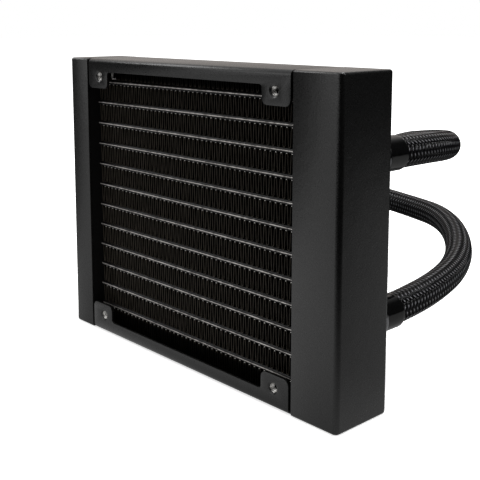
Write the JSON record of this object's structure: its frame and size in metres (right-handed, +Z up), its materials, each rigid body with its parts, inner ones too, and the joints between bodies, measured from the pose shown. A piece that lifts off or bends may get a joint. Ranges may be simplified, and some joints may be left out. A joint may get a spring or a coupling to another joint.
{
  "type": "all in one cpu liquid cooler",
  "caption": "Closed loop liquid cooler: finned radiator on its long edge, braided hoses and a pump head on a copper cold plate.",
  "frame": {"origin": "middle of the lower side plate's underside, under the centre of the fan screw pattern", "axes": "+Z up the radiator's short side, +X towards the tank with the hose ports, +Y towards the side the hoses leave by"},
  "size_m": [0.2667, 0.215, 0.12],
  "materials": {
    "black_paint": "satin black paint",
    "core_black": "matte black paint",
    "painted_fin_sheet": "thin black paint on folded sheet",
    "bare_tube_metal": "worn grey edges",
    "brazed_brass": "bare",
    "black_nickel": "dark plated, polished",
    "heat_shrink": "smooth satin black",
    "braided_hose": "black braided sleeve",
    "elbow_plastic": "black moulded",
    "machined_copper": "lapped copper",
    "screw_steel": "plated",
    "seal_rubber": "matte",
    "housing_plastic": "fine moulded grain",
    "impeller_plastic": "moulded, ivory",
    "magnet_ferrite": "sintered",
    "polished_shaft": "polished",
    "stator_steel": "stamped",
    "copper_winding": "enamelled wire",
    "circuit_board": "solder mask",
    "cover_plastic": "satin moulded",
    "bracket_paint": "black coated steel"
  },
  "bodies": {
    "cooler": {"bottom_side_plate": "black_paint", "cable_grommet": "seal_rubber", "chamber_lid": "housing_plastic", "cold_plate": "machined_copper", "cold_plate_screws": "screw_steel", "cold_plate_seal": "seal_rubber", "fin_row_01": "painted_fin_sheet", "fin_row_02": "painted_fin_sheet", "fin_row_03": "painted_fin_sheet", "fin_row_04": "painted_fin_sheet", "fin_row_05": "painted_fin_sheet", "fin_row_06": "painted_fin_sheet", "fin_row_07": "painted_fin_sheet", "fin_row_08": "painted_fin_sheet", "fin_row_09": "painted_fin_sheet", "fin_row_10": "painted_fin_sheet", "fin_row_11": "painted_fin_sheet", "fin_row_12": "painted_fin_sheet", "fin_row_13": "painted_fin_sheet", "flat_tube_01": "bare_tube_metal", "flat_tube_02": "bare_tube_metal", "flat_tube_03": "bare_tube_metal", "flat_tube_04": "bare_tube_metal", "flat_tube_05": "bare_tube_metal", "flat_tube_06": "bare_tube_metal", "flat_tube_07": "bare_tube_metal", "flat_tube_08": "bare_tube_metal", "flat_tube_09": "bare_tube_metal", "flat_tube_10": "bare_tube_metal", "flat_tube_11": "bare_tube_metal", "flat_tube_12": "bare_tube_metal", "flow_plate": "housing_plastic", "impeller_shaft": "polished_shaft", "lower_elbow": "elbow_plastic", "lower_hose": "braided_hose", "lower_port_sleeve": "heat_shrink", "lower_port_stem": "brazed_brass", "lower_pump_sleeve": "heat_shrink", "port_collars": "black_nickel", "port_header": "core_black", "port_tank": "black_paint", "pump_board": "circuit_board", "pump_collars": "black_nickel", "pump_cover": "cover_plastic", "pump_housing": "housing_plastic", "retention_bracket": "bracket_paint", "return_header": "core_black", "return_tank": "black_paint", "stator_coils": "copper_winding", "stator_core": "stator_steel", "tank_divider": "brazed_brass", "top_side_plate": "black_paint", "upper_elbow": "elbow_plastic", "upper_hose": "braided_hose", "upper_port_sleeve": "heat_shrink", "upper_port_stem": "brazed_brass", "upper_pump_sleeve": "heat_shrink"},
    "rotor": {"impeller": "impeller_plastic", "rotor_magnet": "magnet_ferrite"}
  },
  "joints": [
    {"name": "impeller_spin", "type": "hinge", "parent": "cooler", "child": "rotor", "pos_m": [-0.15, 0.158, 0.014], "axis": [0, 0, 1], "continuous": true}
  ]
}
